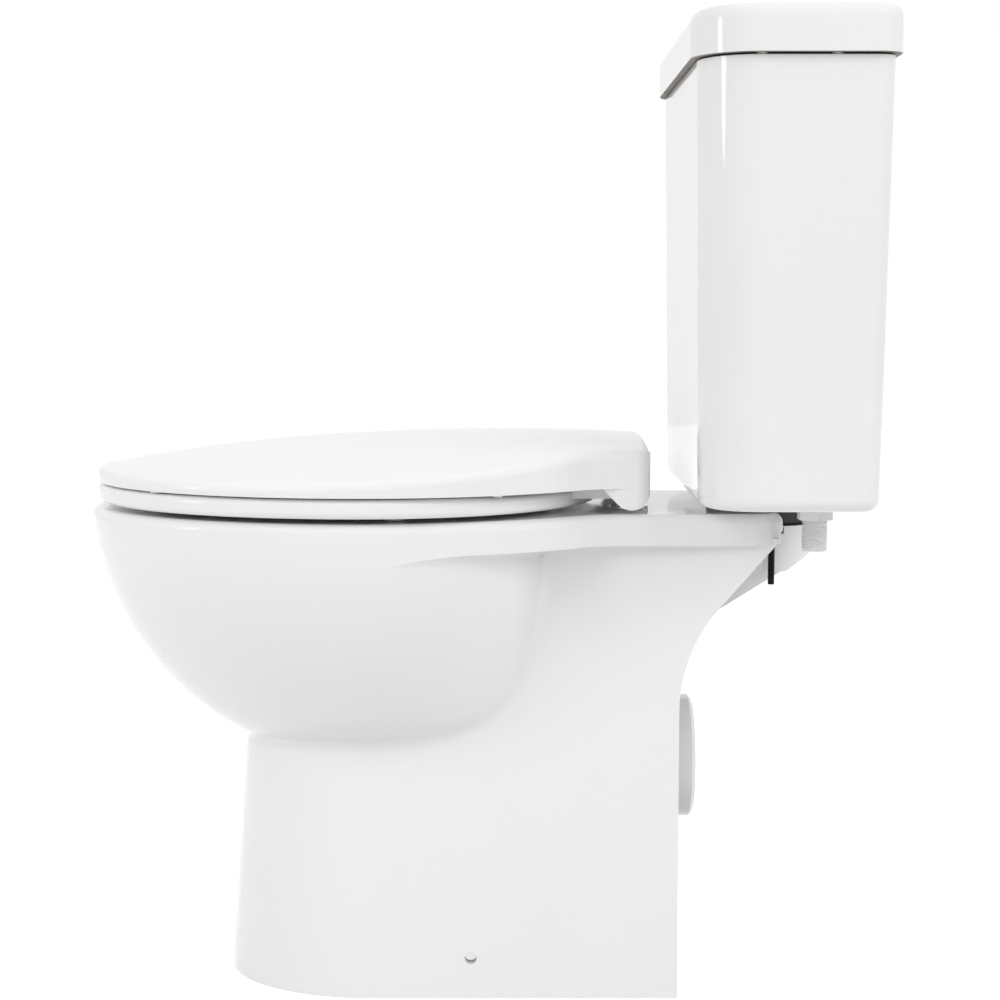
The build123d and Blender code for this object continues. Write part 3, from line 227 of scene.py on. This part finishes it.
def makeFinish(name, look):
    finish = bpy.data.materials.new(name)
    finish.use_nodes = True
    tree = finish.node_tree
    shader = tree.nodes["Principled BSDF"]
    place = tree.nodes.new("ShaderNodeTexCoord")
    group = tree.nodes.new("ShaderNodeGroup")
    group.node_tree = drift
    group.inputs["Tone A"].default_value = (*look["toneA"], 1)
    group.inputs["Tone B"].default_value = (*look["toneB"], 1)
    group.inputs["Gloss Low"].default_value = look["gloss"][0]
    group.inputs["Gloss High"].default_value = look["gloss"][1]
    group.inputs["Patch Scale"].default_value = look["patch"]
    group.inputs["Ripple Scale"].default_value = look["ripple"]
    bump = tree.nodes.new("ShaderNodeBump")
    bump.inputs["Strength"].default_value = look["bump"]
    bump.inputs["Distance"].default_value = look["depth"]
    tree.links.new(place.outputs["Object"], group.inputs["Vector"])
    tree.links.new(group.outputs["Color"], shader.inputs["Base Color"])
    tree.links.new(group.outputs["Roughness"], shader.inputs["Roughness"])
    tree.links.new(group.outputs["Height"], bump.inputs["Height"])
    tree.links.new(bump.outputs["Normal"], shader.inputs["Normal"])
    shader.inputs["Metallic"].default_value = look.get("metal", 0)
    shader.inputs["IOR"].default_value = look.get("ior", 1.5)
    shader.inputs["Specular IOR Level"].default_value = look.get("shine", 0.5)
    shader.inputs["Coat Weight"].default_value = look.get("coat", 0)
    shader.inputs["Coat Roughness"].default_value = glazeCoatRoughness
    return finish


finishes = {
    "vitreous_china": {"toneA": (0.84, 0.84, 0.835), "toneB": (0.87, 0.87, 0.87), "gloss": (0.05, 0.1),
                       "patch": 5, "ripple": 38, "bump": 0.12, "depth": 0.0012, "ior": 1.52, "coat": 0.25},
    "seat_plastic": {"toneA": (0.86, 0.86, 0.86), "toneB": (0.88, 0.88, 0.88), "gloss": (0.13, 0.19),
                     "patch": 8, "ripple": 420, "bump": 0.08, "depth": 0.0004, "ior": 1.49},
    "chrome": {"toneA": (0.76, 0.77, 0.78), "toneB": (0.82, 0.83, 0.84), "gloss": (0.04, 0.12),
               "patch": 60, "ripple": 900, "bump": 0.04, "depth": 0.0002, "metal": 1},
    "black_rubber": {"toneA": (0.012, 0.012, 0.012), "toneB": (0.03, 0.03, 0.03), "gloss": (0.55, 0.75),
                     "patch": 45, "ripple": 1400, "bump": 0.3, "depth": 0.0003},
    "black_steel": {"toneA": (0.012, 0.012, 0.013), "toneB": (0.035, 0.035, 0.036), "gloss": (0.3, 0.5),
                    "patch": 80, "ripple": 900, "bump": 0.15, "depth": 0.0002, "shine": 0.12},
    "steel": {"toneA": (0.5, 0.5, 0.5), "toneB": (0.62, 0.62, 0.61), "gloss": (0.2, 0.38),
              "patch": 90, "ripple": 1500, "bump": 0.12, "depth": 0.0002, "metal": 1},
    "white_plastic": {"toneA": (0.78, 0.78, 0.77), "toneB": (0.83, 0.83, 0.82), "gloss": (0.34, 0.48),
                      "patch": 30, "ripple": 1200, "bump": 0.15, "depth": 0.0003},
    "grey_plastic": {"toneA": (0.33, 0.35, 0.38), "toneB": (0.39, 0.41, 0.44), "gloss": (0.36, 0.5),
                     "patch": 30, "ripple": 1200, "bump": 0.15, "depth": 0.0003},
    # bare clay in a dark tone: painted shade, so the gap between cistern and lid and the foot read dark
    "bareClayPaintedShade": {"toneA": (0.3, 0.28, 0.26), "toneB": (0.4, 0.37, 0.34), "gloss": (0.75, 0.9),
                 "patch": 60, "ripple": 900, "bump": 0.3, "depth": 0.0004},
    "soft_pads": {"toneA": (0.7, 0.7, 0.68), "toneB": (0.78, 0.78, 0.76), "gloss": (0.45, 0.6),
                  "patch": 60, "ripple": 1300, "bump": 0.2, "depth": 0.0003},
}
finishOf = {slot: makeFinish(slot, look) for slot, look in finishes.items()}
for node, solid in cadNodes.items():
    solid.data.materials.clear()
    solid.data.materials.append(finishOf[slotOf[node]])
print("finishes set")


# threads on the studs and on the fill tail, in metres
threads = {
    "coupling_bolts": {"axes": [(0.064, 0.24495), (-0.064, 0.24495)], "radius": 0.003, "depth": 0.0005,
                       "pitch": 0.001, "start": 0.338, "end": 0.3715, "steps": 18},
    "hinge_posts": {"axes": [(0.064, 0.1272), (-0.064, 0.1272)], "radius": 0.004, "depth": 0.0006,
                    "pitch": 0.00125, "start": 0.352, "end": 0.373, "steps": 18},
    "fill_valve_shank": {"axes": [(0.11, 0.2727)], "radius": 0.0104, "depth": 0.0009,
                         "pitch": 0.0018, "start": 0.372, "end": 0.3945, "steps": 40},
}


def selectPoints(piece, wanted):
    bpy.ops.mesh.select_mode(type="VERT")
    bpy.ops.mesh.select_all(action="DESELECT")
    edit = bmesh.from_edit_mesh(piece.data)
    for point in edit.verts:
        point.select = wanted(point.co)
    edit.select_flush_mode()
    bmesh.update_edit_mesh(piece.data)


def cutThread(skin, plan):
    root = (plan["radius"] - plan["depth"]) / plan["radius"]
    shoulder = 0.0002
    slack = 0.0001
    sunkShare = 1.2  # the ridge goes into the stem by a fifth of its height
    makeActive(skin)
    bpy.ops.object.mode_set(mode="EDIT")
    for height in (plan["end"], plan["end"] + shoulder):
        bpy.ops.mesh.select_all(action="SELECT")
        bpy.ops.mesh.bisect(plane_co=(0, 0, height), plane_no=(0, 0, 1))
    for x, y in plan["axes"]:  # the stem goes in to the root of the thread
        selectPoints(skin, lambda co: abs(math.hypot(co.x - x, co.y - y) - plan["radius"]) < slack
                     and plan["start"] - slack < co.z < plan["end"] + slack)
        bpy.ops.transform.resize(value=(root, root, 1), center_override=(x, y, plan["start"]))
    bpy.ops.object.mode_set(mode="OBJECT")
    ridges = []
    for x, y in plan["axes"]:
        ridgeRadius = 0.5 * plan["pitch"]
        ridgeHeight = 1.5 * ridgeRadius  # of an even triangle
        deselectAll()
        bpy.ops.mesh.primitive_circle_add(vertices=3, radius=ridgeRadius, fill_type="NOTHING",
                                          location=(x, y, plan["start"] + ridgeRadius),
                                          rotation=(math.radians(90), math.radians(90), 0))
        ridge = bpy.context.object
        bpy.ops.object.transform_apply(location=False, rotation=True, scale=True)
        bpy.ops.object.mode_set(mode="EDIT")
        bpy.ops.mesh.select_all(action="SELECT")
        flat = sunkShare * plan["depth"] / ridgeHeight
        bpy.ops.transform.resize(value=(flat, 1, 1), center_override=(x, y, plan["start"]))
        bpy.ops.transform.translate(value=(plan["radius"] - flat * ridgeRadius, 0, 0))
        bpy.ops.object.mode_set(mode="OBJECT")
        coil = ridge.modifiers.new("coil", "SCREW")
        coil.screw_offset = plan["pitch"]
        coil.iterations = int((plan["end"] - plan["start"]) / plan["pitch"]) - 1
        coil.steps = coil.render_steps = plan["steps"]
        coil.use_normal_calculate = True
        bpy.ops.object.modifier_apply(modifier=coil.name)
        bpy.ops.object.transform_apply(location=True, rotation=True, scale=True)
        bpy.ops.object.mode_set(mode="EDIT")
        bpy.ops.mesh.select_all(action="SELECT")
        bpy.ops.mesh.fill_holes(sides=4)
        bpy.ops.mesh.select_all(action="SELECT")
        bpy.ops.mesh.normals_make_consistent(inside=False)
        bpy.ops.object.mode_set(mode="OBJECT")
        ridge.data.materials.append(skin.data.materials[0])
        ridges.append(ridge)
    makeActive(skin)
    for ridge in ridges:
        ridge.select_set(True)
    bpy.ops.object.join()


# wings turned about their studs
wingTurn = {
    "bolt_wing_nuts": {"axes": [(0.064, 0.24495), (-0.064, 0.24495)], "reach": 0.03, "turn": 90},
}

# bare fired clay where the glaze stops: the foot, the lid's seat and the cistern's rim, in a dark tone
# that is painted shade for the gap between lid and cistern
bareClayShadeMasks = {
    "pan": lambda co, normal: co.z < 0.0005 and normal.z < -0.9,
    "cistern": lambda co, normal: co.z > 0.7515 and normal.z > 0.9,
    "cistern_lid": lambda co, normal: 0.7535 < co.z < 0.7545 and normal.z < -0.9,
}


# skins for the pieces that are dressed; the other solids show as they are
skins = {
    "pieces": sorted({*threads, *wingTurn, *bareClayShadeMasks}),
    "weld": 0.00002,
    "crease": 32,
}
for node in skins["pieces"]:
    skin = cadNodes[node].copy()
    skin.data = cadNodes[node].data.copy()
    skin.name = node + "_skin"
    scene.collection.objects.link(skin)
    skin.parent = None
    skin.matrix_world.identity()
    makeActive(skin)
    # the masked faces get the dark clay finish: painted shade in the gap under the cistern lid and under
    # the foot
    if node in bareClayShadeMasks:
        skin.data.materials.append(finishOf["bareClayPaintedShade"])
        for face in skin.data.polygons:
            face.material_index = int(bareClayShadeMasks[node](face.center, face.normal))
    else:
        bpy.ops.object.mode_set(mode="EDIT")
        bpy.ops.mesh.select_all(action="SELECT")
        bpy.ops.mesh.remove_doubles(threshold=skins["weld"])
        bpy.ops.object.mode_set(mode="OBJECT")
        if node in threads:
            cutThread(skin, threads[node])
        else:
            for x, y in wingTurn[node]["axes"]:  # the wings are left lying across the shelf
                bpy.ops.object.mode_set(mode="EDIT")
                selectPoints(skin, lambda co: math.hypot(co.x - x, co.y - y) < wingTurn[node]["reach"])
                bpy.ops.transform.rotate(value=math.radians(wingTurn[node]["turn"]), orient_axis="Z",
                                         center_override=(x, y, 0))
                bpy.ops.object.mode_set(mode="OBJECT")
        makeActive(skin)
        bpy.ops.object.shade_smooth_by_angle(angle=math.radians(skins["crease"]))
        weigh = skin.modifiers.new("weigh", "WEIGHTED_NORMAL")
        weigh.keep_sharp = True
        bpy.ops.object.modifier_apply(modifier=weigh.name)
    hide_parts(node)
    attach(skin, bodyOf[node])
print("skins set")
